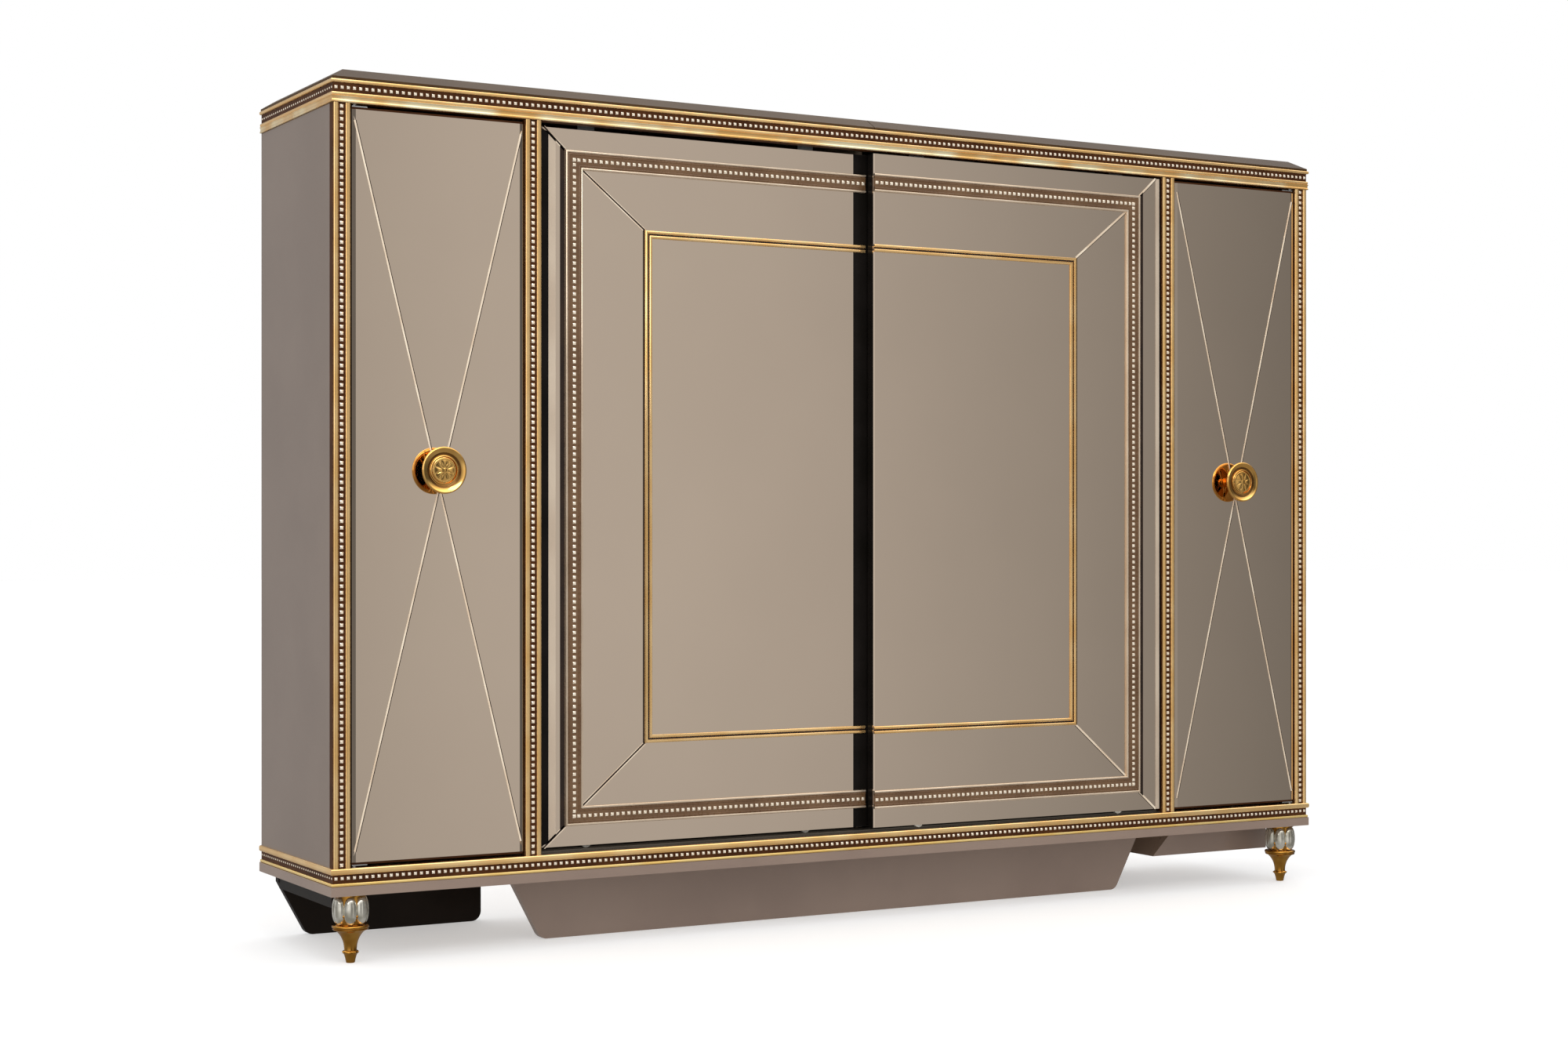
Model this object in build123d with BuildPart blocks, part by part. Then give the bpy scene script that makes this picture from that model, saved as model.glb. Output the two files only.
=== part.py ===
"""A four-door armoire on two front feet and three floor boards.

Two hinged mirror doors stand at the ends and two sliding mirror doors in the middle.
X runs along the width, Y from front to back and Z up. The origin is on the floor, at the
middle of the whole object's box, knobs included.
"""

import math
import os

from build123d import *

# ---------------------------------------------------------------- driving dimensions (mm)
WIDTH = 3230  # across the outer faces of the side panels
CARCASS_DEPTH = 578  # from the plane of the post faces to the back
KNOB_REACH = 38  # how far a knob stands in front of that plane

HALF = WIDTH / 2
FACE = (KNOB_REACH - CARCASS_DEPTH) / 2  # Y of the face plane
BACK = FACE + CARCASS_DEPTH

# Levels above the floor
PLINTH_BOTTOM = 178
PLINTH_TOP = 203
BASE_TOP = 249
CORNICE_BOTTOM = 2197
CORNICE_TOP = 2258
CAP_TOP = 2290
PANEL = 22  # thickness of the structural boards
FLOOR_UNDERSIDE = BASE_TOP - PANEL
CEILING = CORNICE_TOP - 1 - PANEL  # underside of the top panel
BACK_BOARD = 8
BACK_FACE = BACK - BACK_BOARD  # front of the back boards

# Posts and openings, measured from the middle
POST = 48
INNER_POST = 1037  # inner edge of an inner post, and of the divider behind it
OUTER_POST = HALF - POST
DIVIDER = 24
POST_FACE = FACE + 2  # the dark channel's floor
POST_BACK = FACE + 24
BEAD = 13
BEAD_OFFSET = 16  # from a post's middle line to a bead's
CRYSTAL = 10  # width of a crystal row

# Hinged doors
GAP = 4
GLASS = 5
HINGED_INNER = INNER_POST + POST + GAP
HINGED_OUTER = OUTER_POST - GAP
HINGED_BOTTOM = 256
DOOR_TOP = 2190
HINGED_BOARD = 20
GLASS_INSET = 6  # the glass stops short of a hinged door's top and bottom
PIVOT_INSET = 8  # from the door's outer edge and from its glass face
PIVOT_X = HINGED_OUTER - PIVOT_INSET
PIVOT_Y = POST_FACE + PIVOT_INSET
PIVOT_RADIUS = 4
RUNNING_CLEARANCE = 0.05
BUSH_RADIUS = 6
BUSH_LENGTH = 16

# Sliding doors
SLIDING_BOTTOM = 262
SLIDING_OUTER = 1030
SLIDING_BOARD = 27
FRONT_TRACK = FACE  # glass face of the right door
REAR_TRACK = FACE + 43  # glass face of the left door
RIGHT_DOOR_EDGE = -2  # left edge of the right door
LEFT_DOOR_EDGE = 18  # right edge of the left door
MOULDING_OUTER = 950
MOULDING_WIDTH = 52
MOULDING_LOW = 316
MOULDING_HIGH = 2133
MOULDING_PROUD = 8
CHANNEL = 14  # the moulding's crystal channel
CHANNEL_DEPTH = 3
FRAME_OUTER = 711
FRAME_WIDTH = 22
FRAME_LOW = 530
FRAME_HIGH = 1931
FRAME_PROUD = 6

# Rollers and tracks
TRACK_PLATE = 2
RIB_WIDTH = 4
RIB_HEIGHT = 5
WHEEL_TREAD = 12  # radius that rolls on the rib
WHEEL_FLANGE = 15
WHEEL_WIDTH = 10
AXLE_RADIUS = 3
ROLLING_GAP = 0.3
RIB_TOP = BASE_TOP + TRACK_PLATE + RIB_HEIGHT
WHEEL_Z = RIB_TOP + WHEEL_TREAD + ROLLING_GAP
WHEEL_FROM_EDGE = 150
GUIDE_FIN = 5
GUIDE_SLOT = 8
GUIDE_TOP = 2216
FLANGE = 2
FLANGE_LOW = 2203

os.makedirs("parts", exist_ok=True)


# ---------------------------------------------------------------- helpers
def finish(builder, name):
    """Label a finished piece and write it under its node name."""
    builder.part.label = name
    export_step(builder.part, f"parts/{name}.step")


def board(x, y, z):
    """A rectangular board between two X, two Y and two Z values, in either order."""
    with Locations((sum(x) / 2, sum(y) / 2, sum(z) / 2)):
        Box(abs(x[1] - x[0]), abs(y[1] - y[0]), abs(z[1] - z[0]))


def cut(x, y, z):
    """Remove a rectangular space."""
    with Locations((sum(x) / 2, sum(y) / 2, sum(z) / 2)):
        Box(abs(x[1] - x[0]), abs(y[1] - y[0]), abs(z[1] - z[0]), mode=Mode.SUBTRACT)


def wrap_band(reach, thickness, z):
    """A band round the left, front and right sides, its outer face `reach` outside the carcass."""
    front = FACE - reach
    inner_front = front + thickness
    with BuildSketch(Plane.XY.offset(z[0])) as plan:
        with Locations((0, (front + BACK) / 2)):
            Rectangle(WIDTH + 2 * reach, BACK - front)
        with Locations((0, (inner_front + BACK) / 2)):
            Rectangle(WIDTH + 2 * (reach - thickness), BACK - inner_front, mode=Mode.SUBTRACT)
    extrude(plan.sketch, amount=z[1] - z[0])


def wrap_bead(reach, z, rounding):
    """A rounded bead round the left, front and right sides, with mitred corners."""
    middle = sum(z) / 2
    with BuildLine() as route:
        Polyline((-HALF, BACK, middle), (-HALF, FACE, middle), (HALF, FACE, middle), (HALF, BACK, middle))
    with BuildSketch(Plane(origin=(-HALF, BACK, middle), x_dir=(-1, 0, 0), z_dir=(0, -1, 0))) as section:
        with Locations((reach / 2, 0)):
            Rectangle(reach, z[1] - z[0])
        fillet(section.vertices().group_by(Axis.X)[0], radius=rounding)
    sweep(section.sketch, path=route.line, transition=Transition.RIGHT)


def u_frame(hand, meeting_x, outer_x, z, width, face_y, depth, mode=Mode.ADD):
    """A frame along a door's top, outer side and bottom, open at the meeting edge.

    It stands `depth` in front of face_y; hand is -1 for the left door and 1 for the right.
    """
    outer = hand * outer_x
    inner = hand * (outer_x - width)
    with BuildSketch(Plane.XZ.offset(-face_y)) as outline:
        with Locations(((meeting_x + outer) / 2, sum(z) / 2)):
            Rectangle(abs(outer - meeting_x), z[1] - z[0])
        with Locations(((meeting_x + inner) / 2, sum(z) / 2)):
            Rectangle(abs(inner - meeting_x), z[1] - z[0] - 2 * width, mode=Mode.SUBTRACT)
    extrude(outline.sketch, amount=depth, mode=mode)


def glass_sheet(x, face_y, z, low_bevel, high_bevel, bevel_depth=2):
    """A glass sheet with bevels of the given widths along its two upright edges."""
    rear = face_y + GLASS
    outline = [
        (x[0], rear),
        (x[0], face_y + (bevel_depth if low_bevel else 0)),
        (x[1], face_y + (bevel_depth if high_bevel else 0)),
        (x[1], rear),
    ]
    if low_bevel:
        outline.insert(2, (x[0] + low_bevel, face_y))
    if high_bevel:
        outline.insert(-2, (x[1] - high_bevel, face_y))
    with BuildSketch(Plane.XY.offset(z[0])) as plan:
        with BuildLine():
            Polyline(*outline, close=True)
        make_face()
    extrude(plan.sketch, amount=z[1] - z[0])


def groove(start, end, face_y, width=5, depth=1.2, overrun=3):
    """A V-groove in the glass from one (x, z) point to another."""
    first = Vector(start[0], face_y, start[1])
    run = Vector(end[0], face_y, end[1]) - first
    along = run.normalized()
    lip = width / depth / 2
    with BuildSketch(Plane(origin=first - along * overrun, x_dir=(0, 1, 0), z_dir=along)) as section:
        Polygon((-1, (1 + depth) * lip), (depth, 0), (-1, -(1 + depth) * lip), align=None)
    extrude(section.sketch, amount=run.length + 2 * overrun, mode=Mode.SUBTRACT)


SIDES = ((-1, "left"), (1, "right"))


# ---------------------------------------------------------------- carcass
for hand, side in SIDES:
    with BuildPart() as side_panel:
        board((hand * HALF, hand * (HALF - PANEL)), (POST_BACK, BACK), (BASE_TOP, CORNICE_BOTTOM))
    finish(side_panel, f"side_panel_{side}")

    with BuildPart() as divider:
        board(
            (hand * INNER_POST, hand * (INNER_POST + DIVIDER)),
            (POST_BACK, BACK_FACE),
            (BASE_TOP, CEILING),
        )
    finish(divider, f"divider_{side}")

PARTITION_FRONT = FACE + 84
with BuildPart() as center_partition:
    board((-PANEL / 2, PANEL / 2), (PARTITION_FRONT, BACK_FACE), (BASE_TOP, CEILING))
finish(center_partition, "center_partition")

with BuildPart() as bottom_panel:
    board((PANEL - HALF, HALF - PANEL), (FACE + PANEL, BACK_FACE), (FLOOR_UNDERSIDE, BASE_TOP))
finish(bottom_panel, "bottom_panel")

with BuildPart() as top_panel:
    board((PANEL - HALF, HALF - PANEL), (FACE + PANEL, BACK_FACE), (CEILING, CEILING + PANEL))
finish(top_panel, "top_panel")

# Three back boards, the middle one with two holes for wall screws
WALL_SCREW_X = 800
WALL_SCREW_Z = 2150
WALL_SCREW_RADIUS = 4
BACK_SEAM = INNER_POST + DIVIDER / 2
BACK_EDGE = HALF - PANEL
with BuildPart() as back_panels:
    for edges_x in ((-BACK_EDGE, -BACK_SEAM - 1), (1 - BACK_SEAM, BACK_SEAM - 1), (BACK_SEAM + 1, BACK_EDGE)):
        board(edges_x, (BACK_FACE, BACK), (PLINTH_TOP, CORNICE_TOP - 1))
    with BuildSketch(Plane.XZ.offset(-BACK)):
        with Locations((-WALL_SCREW_X, WALL_SCREW_Z), (WALL_SCREW_X, WALL_SCREW_Z)):
            Circle(WALL_SCREW_RADIUS)
    extrude(amount=BACK_BOARD, mode=Mode.SUBTRACT)
finish(back_panels, "back_panels")

# The two halves of the cap meet at a fine seam in the middle and slope inwards at the front and the ends
CAP_REACH = 2
CAP_LIP = 6
CAP_SLOPE = 42
CAP_SEAM = 1  # from the middle to each half
for hand, side in SIDES:
    lip_x = hand * (HALF + CAP_REACH)
    top_x = hand * (HALF + CAP_REACH - CAP_SLOPE)
    lip_y = FACE - CAP_REACH
    top_y = lip_y + CAP_SLOPE
    seam_x = hand * CAP_SEAM
    with BuildPart() as cap:
        board((seam_x, lip_x), (lip_y, BACK), (CORNICE_TOP, CORNICE_TOP + CAP_LIP))
        with BuildSketch(Plane.XY.offset(CORNICE_TOP + CAP_LIP)):
            with Locations(((seam_x + lip_x) / 2, (lip_y + BACK) / 2)):
                Rectangle(abs(lip_x) - CAP_SEAM, BACK - lip_y)
        with BuildSketch(Plane.XY.offset(CAP_TOP)):
            with Locations(((seam_x + top_x) / 2, (top_y + BACK) / 2)):
                Rectangle(abs(top_x) - CAP_SEAM, BACK - top_y)
        loft(ruled=True)
    finish(cap, f"cap_{side}")


# ---------------------------------------------------------------- cornice, base and plinth
with BuildPart() as cornice_frame:
    wrap_band(0, PANEL, (CORNICE_BOTTOM, CORNICE_TOP - 1))
    for hand, side in SIDES:
        with Locations((hand * PIVOT_X, PIVOT_Y, CORNICE_BOTTOM + BUSH_LENGTH / 2)):
            Cylinder(BUSH_RADIUS, BUSH_LENGTH, mode=Mode.SUBTRACT)
finish(cornice_frame, "cornice_frame")

with BuildPart() as cornice_beads:
    wrap_band(5, 5, (CORNICE_BOTTOM + 1, CORNICE_BOTTOM + 18))
    wrap_bead(4, (CORNICE_BOTTOM + 18.2, CORNICE_BOTTOM + 27), 3)
    wrap_bead(6, (CORNICE_BOTTOM + 51, CORNICE_BOTTOM + 60.5), 4)
finish(cornice_beads, "cornice_beads")

with BuildPart() as base_frame:
    wrap_band(0, PANEL, (PLINTH_TOP, BASE_TOP))
    for hand, side in SIDES:
        with Locations((hand * PIVOT_X, PIVOT_Y, BASE_TOP - BUSH_LENGTH / 2)):
            Cylinder(BUSH_RADIUS, BUSH_LENGTH, mode=Mode.SUBTRACT)
finish(base_frame, "base_frame")

with BuildPart() as base_beads:
    wrap_bead(4, (PLINTH_TOP, PLINTH_TOP + 8), 3)
    wrap_bead(7, (BASE_TOP - 16, BASE_TOP), 5)
finish(base_beads, "base_beads")

PLINTH_REACH = 6
with BuildPart() as plinth:
    wrap_band(PLINTH_REACH, PLINTH_REACH + PANEL, (PLINTH_BOTTOM, PLINTH_TOP))
finish(plinth, "plinth")


# ---------------------------------------------------------------- posts
POST_MIDDLES = (
    ("outer_left", -OUTER_POST - POST / 2),
    ("inner_left", -INNER_POST - POST / 2),
    ("inner_right", INNER_POST + POST / 2),
    ("outer_right", OUTER_POST + POST / 2),
)
for place, middle in POST_MIDDLES:
    with BuildPart() as post:
        board(
            (middle - POST / 2, middle + POST / 2),
            (POST_FACE, POST_BACK),
            (BASE_TOP, CORNICE_BOTTOM),
        )
    finish(post, f"post_{place}")

BEAD_PROUD = 7
with BuildPart() as post_beads:
    for place, middle in POST_MIDDLES:
        for offset in (-BEAD_OFFSET, BEAD_OFFSET):
            with BuildSketch(Plane.XY.offset(BASE_TOP)) as bead_section:
                with Locations((middle + offset, POST_FACE - BEAD_PROUD / 2)):
                    Rectangle(BEAD, BEAD_PROUD)
                fillet(bead_section.vertices().group_by(Axis.Y)[0], radius=5.5)
            extrude(amount=CORNICE_BOTTOM - BASE_TOP)
finish(post_beads, "post_beads")

# The rows of crystals, each as one strip: round the cornice, round the base and up the posts
CRYSTAL_PROUD = 3
BASE_ROW = 224
CORNICE_ROW = CORNICE_BOTTOM + 39
with BuildPart() as crystal_rows:
    for row in (BASE_ROW, CORNICE_ROW):
        wrap_band(CRYSTAL_PROUD, CRYSTAL_PROUD, (row - CRYSTAL / 2, row + CRYSTAL / 2))
    for place, middle in POST_MIDDLES:
        board(
            (middle - CRYSTAL / 2, middle + CRYSTAL / 2),
            (POST_FACE - CRYSTAL_PROUD, POST_FACE),
            (BASE_TOP, CORNICE_BOTTOM),
        )
finish(crystal_rows, "crystal_rows")


# ---------------------------------------------------------------- feet and floor boards
FOOT_INSET_X = 65
FOOT_INSET_Y = 50
FOOT_NECK = 14
FOOT_CENTERS = [(hand * (HALF - FOOT_INSET_X), FACE + FOOT_INSET_Y) for hand, side in SIDES]
with BuildPart() as feet:
    for x, y in FOOT_CENTERS:
        with BuildSketch(Plane(origin=(x, y, 0), x_dir=(1, 0, 0), z_dir=(0, -1, 0))):
            with BuildLine():
                Polyline((0, 0), (11.5, 0), (17, 23))
                Polyline((17, 23), (20, 25), (20, 30), (17, 32))
                ThreePointArc((17, 32), (22.5, 64), (40, 86))
                Polyline((40, 86), (46, 86), (48, 88), (48, 96), (46, 98), (FOOT_NECK, 98))
                Polyline((FOOT_NECK, 98), (FOOT_NECK, 173), (42, 173), (42, PLINTH_BOTTOM))
                Polyline((42, PLINTH_BOTTOM), (0, PLINTH_BOTTOM), (0, 0))
            make_face()
        revolve(axis=Axis((x, y, 0), (0, 0, 1)))
finish(feet, "feet")

# Each bulb is a zone of a ball, bored for the neck
BULB_RADIUS = 48
BULB_Z = (99, 172)
BULB_MIDDLE = sum(BULB_Z) / 2
BULB_END = math.sqrt(BULB_RADIUS**2 - (BULB_Z[1] - BULB_MIDDLE) ** 2)
with BuildPart() as foot_bulbs:
    for x, y in FOOT_CENTERS:
        with BuildSketch(Plane(origin=(x, y, 0), x_dir=(1, 0, 0), z_dir=(0, -1, 0))):
            with BuildLine():
                bored = Polyline(
                    (BULB_END, BULB_Z[1]),
                    (FOOT_NECK, BULB_Z[1]),
                    (FOOT_NECK, BULB_Z[0]),
                    (BULB_END, BULB_Z[0]),
                )
                ThreePointArc(bored @ 1, (BULB_RADIUS, BULB_MIDDLE), bored @ 0)
            make_face()
        revolve(axis=Axis((x, y, 0), (0, 0, 1)))
finish(foot_bulbs, "foot_bulbs")

SKIRT = 25
FRONT_SKIRT_Y = FACE + 150
FRONT_SKIRT_BACK = FRONT_SKIRT_Y + SKIRT
FRONT_SKIRT_TOP_X = 1092
FRONT_SKIRT_BOTTOM_X = 972
REAR_SKIRT_Y = BACK - 40

# The apron is a shallow board under the right-hand bay, in line with the front skirt. Its inner end slopes
# at 45 degrees, and a return with the same slope runs from there to the back.
APRON_LOW = 93
APRON_INNER = 1120
APRON_OUTER = HALF - 37
APRON_SLOPE = FLOOR_UNDERSIDE - APRON_LOW
RETURN_WIDTH = 35
with BuildPart() as front_skirt:
    with BuildSketch(Plane.XZ.offset(-FRONT_SKIRT_BACK)) as skirt_outline:
        with BuildLine():
            Polyline(
                (-FRONT_SKIRT_TOP_X, FLOOR_UNDERSIDE),
                (-FRONT_SKIRT_BOTTOM_X, 0),
                (FRONT_SKIRT_BOTTOM_X, 0),
                (FRONT_SKIRT_TOP_X, FLOOR_UNDERSIDE),
                close=True,
            )
        make_face()
        fillet(skirt_outline.vertices().group_by(Axis.Y)[0], radius=30)
    extrude(amount=SKIRT)
    with BuildSketch(Plane.XZ.offset(-FRONT_SKIRT_BACK)):
        with BuildLine():
            Polyline(
                (APRON_INNER, APRON_LOW),
                (APRON_OUTER, APRON_LOW),
                (APRON_OUTER, FLOOR_UNDERSIDE),
                (APRON_INNER + APRON_SLOPE, FLOOR_UNDERSIDE),
                close=True,
            )
        make_face()
    extrude(amount=SKIRT)
    with BuildSketch(Plane.XZ.offset(-REAR_SKIRT_Y)):
        with BuildLine():
            Polyline(
                (APRON_INNER, APRON_LOW),
                (APRON_INNER + RETURN_WIDTH, APRON_LOW),
                (APRON_INNER + RETURN_WIDTH + APRON_SLOPE, FLOOR_UNDERSIDE),
                (APRON_INNER + APRON_SLOPE, FLOOR_UNDERSIDE),
                close=True,
            )
        make_face()
    extrude(amount=REAR_SKIRT_Y - FRONT_SKIRT_BACK - 1)
finish(front_skirt, "front_skirt")

# The right-hand rear skirt stands further in than the left-hand one
REAR_SKIRT_INNER = 985
REAR_SKIRT_HEEL = 1498
REAR_SKIRT_OUTER = 1580
REAR_SKIRT_KNEE_Z = 150
RIGHT_SKIRT_SHIFT = 315
with BuildPart() as rear_skirts:
    for hand, shift in ((-1, 0), (1, RIGHT_SKIRT_SHIFT)):
        inner_x = hand * (REAR_SKIRT_INNER - shift)
        heel_x = hand * (REAR_SKIRT_HEEL - shift)
        outer_x = hand * (REAR_SKIRT_OUTER - shift)
        with BuildSketch(Plane.XZ.offset(-(REAR_SKIRT_Y + SKIRT))) as heel_outline:
            with BuildLine():
                Polyline(
                    (inner_x, FLOOR_UNDERSIDE),
                    (inner_x, 0),
                    (heel_x, 0),
                    (outer_x, REAR_SKIRT_KNEE_Z),
                    (outer_x, FLOOR_UNDERSIDE),
                    close=True,
                )
            make_face()
            fillet(heel_outline.vertices().group_by(Axis.Y)[0], radius=28)
        extrude(amount=SKIRT)
finish(rear_skirts, "rear_skirts")

# A corner block over each foot and a shallow rail down each end, behind the block or the apron
RAIL_BOTTOM = 133
RAIL_X = (HALF - 62, HALF - 37)
BLOCK_END = FACE + 112
with BuildPart() as under_rails:
    for hand, rail_front in ((-1, BLOCK_END + 1), (1, FRONT_SKIRT_BACK + 1)):
        board(
            (hand * (HALF - PANEL), hand * (HALF - 115)),
            (FACE + PANEL, BLOCK_END),
            (PLINTH_BOTTOM, FLOOR_UNDERSIDE),
        )
        board(
            (hand * RAIL_X[0], hand * RAIL_X[1]),
            (rail_front, REAR_SKIRT_Y),
            (RAIL_BOTTOM, FLOOR_UNDERSIDE),
        )
finish(under_rails, "under_rails")


# ---------------------------------------------------------------- interior
SHELF = 18
SHELF_FRONT = FACE + 40
SHELF_LEVELS = (602, 972, 1342, 1712)
HAT_SHELF_Z = 1900
BAY_EDGE = INNER_POST + DIVIDER
with BuildPart() as shelves:
    for hand, side in SIDES:
        for level in SHELF_LEVELS:
            board(
                (hand * BAY_EDGE, hand * (HALF - PANEL)),
                (SHELF_FRONT, BACK_FACE),
                (level, level + SHELF),
            )
        board(
            (hand * PANEL / 2, hand * INNER_POST),
            (PARTITION_FRONT + 6, BACK_FACE),
            (HAT_SHELF_Z, HAT_SHELF_Z + SHELF),
        )
finish(shelves, "shelves")

RAIL_Z = 1836
RAIL_Y = FACE + 330
RAIL_RADIUS = 12.5
SOCKET_DEPTH = 12
SOCKET_FLOOR = 3
with BuildPart() as hanging_rails:
    for hand, side in SIDES:
        start = PANEL / 2 + SOCKET_FLOOR
        length = INNER_POST - SOCKET_FLOOR - start
        with BuildSketch(Plane.YZ.offset(hand * start)):
            with Locations((RAIL_Y, RAIL_Z)):
                Circle(RAIL_RADIUS)
        extrude(amount=hand * length)
finish(hanging_rails, "hanging_rails")

with BuildPart() as rail_sockets:
    for hand, side in SIDES:
        for seat, outward in ((hand * PANEL / 2, hand), (hand * INNER_POST, -hand)):
            with BuildSketch(Plane.YZ.offset(seat)):
                with Locations((RAIL_Y, RAIL_Z)):
                    Circle(RAIL_RADIUS + 8)
            extrude(amount=outward * SOCKET_DEPTH)
            with BuildSketch(Plane.YZ.offset(seat + outward * SOCKET_FLOOR)):
                with Locations((RAIL_Y, RAIL_Z)):
                    Circle(RAIL_RADIUS)
            extrude(amount=outward * SOCKET_DEPTH, mode=Mode.SUBTRACT)
finish(rail_sockets, "rail_sockets")


# ---------------------------------------------------------------- tracks and pivot bushes
FRONT_RIB = FRONT_TRACK + GLASS + SLIDING_BOARD / 2
REAR_RIB = REAR_TRACK + GLASS + SLIDING_BOARD / 2
FRONT_GUIDE = FACE + 28.5
REAR_GUIDE = REAR_RIB
TRACK_END = INNER_POST - 0.5
with BuildPart() as bottom_track:
    board((-TRACK_END, TRACK_END), (FACE + 6, FACE + 76), (BASE_TOP, BASE_TOP + TRACK_PLATE))
    for rib in (FRONT_RIB, REAR_RIB):
        board(
            (-TRACK_END, TRACK_END),
            (rib - RIB_WIDTH / 2, rib + RIB_WIDTH / 2),
            (BASE_TOP + TRACK_PLATE, RIB_TOP),
        )
finish(bottom_track, "bottom_track")

# The top track is a carrier plate with four guide bars screwed under it, two for each slot
WALL = GUIDE_SLOT / 2 + FLANGE
CARRIER_BOTTOM = CEILING - 4
with BuildPart() as carrier:
    board((-TRACK_END, TRACK_END), (FRONT_GUIDE - WALL, REAR_GUIDE + WALL), (CARRIER_BOTTOM, CEILING))
with BuildPart() as guide_bars:
    for guide in (FRONT_GUIDE, REAR_GUIDE):
        for wall in (guide - WALL, guide + GUIDE_SLOT / 2):
            board((-TRACK_END, TRACK_END), (wall, wall + FLANGE), (FLANGE_LOW, CARRIER_BOTTOM))
top_track = Compound(carrier.part.solids() + guide_bars.part.solids())
top_track.label = "top_track"
export_step(top_track, "parts/top_track.step")

with BuildPart() as pivot_bushes:
    for hand, side in SIDES:
        for low in (BASE_TOP - BUSH_LENGTH, CORNICE_BOTTOM):
            with BuildSketch(Plane.XY.offset(low)):
                with Locations((hand * PIVOT_X, PIVOT_Y)):
                    Circle(BUSH_RADIUS)
                    Circle(PIVOT_RADIUS + RUNNING_CLEARANCE, mode=Mode.SUBTRACT)
            extrude(amount=BUSH_LENGTH)
finish(pivot_bushes, "pivot_bushes")


# ---------------------------------------------------------------- hinged doors
DOOR_CENTER_X = (HINGED_INNER + HINGED_OUTER) / 2
DOOR_CENTER_Z = (HINGED_BOTTOM + DOOR_TOP) / 2
KNOB_Z = 1265
KNOB_RADIUS = 61
MEDALLION_RADIUS = 33
PIVOT_PLATE = 3
PIN_REACH = 13  # how far a pivot pin stands into its bush
for hand, side in SIDES:
    inner = hand * HINGED_INNER
    outer = hand * HINGED_OUTER
    glass_x = sorted((inner, outer))
    glass_z = (HINGED_BOTTOM + GLASS_INSET, DOOR_TOP - GLASS_INSET)
    front = POST_FACE
    rear = POST_FACE + GLASS + HINGED_BOARD

    with BuildPart() as door_board:
        board((inner, outer), (front + GLASS, rear), (HINGED_BOTTOM, DOOR_TOP))
    finish(door_board, f"door_{side}_board")

    with BuildPart() as door_mirror:
        glass_sheet(glass_x, front, glass_z, 10, 10)
        groove((glass_x[0], glass_z[0]), (glass_x[1], glass_z[1]), front)
        groove((glass_x[0], glass_z[1]), (glass_x[1], glass_z[0]), front)
    finish(door_mirror, f"door_{side}_mirror")

    # The knob is turned about an axis square to the glass; sketch X is the radius, Y the reach
    knob_plane = Plane(origin=(hand * DOOR_CENTER_X, front, KNOB_Z), x_dir=(1, 0, 0), z_dir=(0, 0, 1))
    knob_axis = Axis(knob_plane.origin, (0, 1, 0))
    with BuildPart() as knob:
        with BuildSketch(knob_plane):
            with BuildLine():
                Polyline((0, 0), (17, 0), (17, -3), (9, -5), (9, -25), (20, -29), (56, -30))
                ThreePointArc((56, -30), (KNOB_RADIUS, -35), (57, -40))
                Polyline((57, -40), (50, -39), (45, -34), (0, -34), (0, 0))
            make_face()
        revolve(axis=knob_axis)
    finish(knob, f"door_{side}_knob")

    with BuildPart() as medallion:
        with BuildSketch(knob_plane):
            with BuildLine():
                Polyline(
                    (0, -34),
                    (MEDALLION_RADIUS, -34),
                    (MEDALLION_RADIUS, -36),
                    (MEDALLION_RADIUS - 5, -38.5),
                    (0, -39.5),
                    close=True,
                )
            make_face()
        revolve(axis=knob_axis)
    finish(medallion, f"door_{side}_medallion")

    with BuildPart() as pivots:
        plate_x = (hand * (HINGED_OUTER - 1), hand * (HINGED_OUTER - 42))
        for plate_z, pin_z in (
            ((HINGED_BOTTOM - PIVOT_PLATE, HINGED_BOTTOM), (BASE_TOP - PIN_REACH, HINGED_BOTTOM)),
            ((DOOR_TOP, DOOR_TOP + PIVOT_PLATE), (DOOR_TOP, CORNICE_BOTTOM + PIN_REACH)),
        ):
            board(plate_x, (PIVOT_Y - 5, rear - 1), plate_z)
            with BuildSketch(Plane.XY.offset(pin_z[0])):
                with Locations((hand * PIVOT_X, PIVOT_Y)):
                    Circle(PIVOT_RADIUS)
            extrude(amount=pin_z[1] - pin_z[0])
    finish(pivots, f"door_{side}_pivots")


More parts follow.
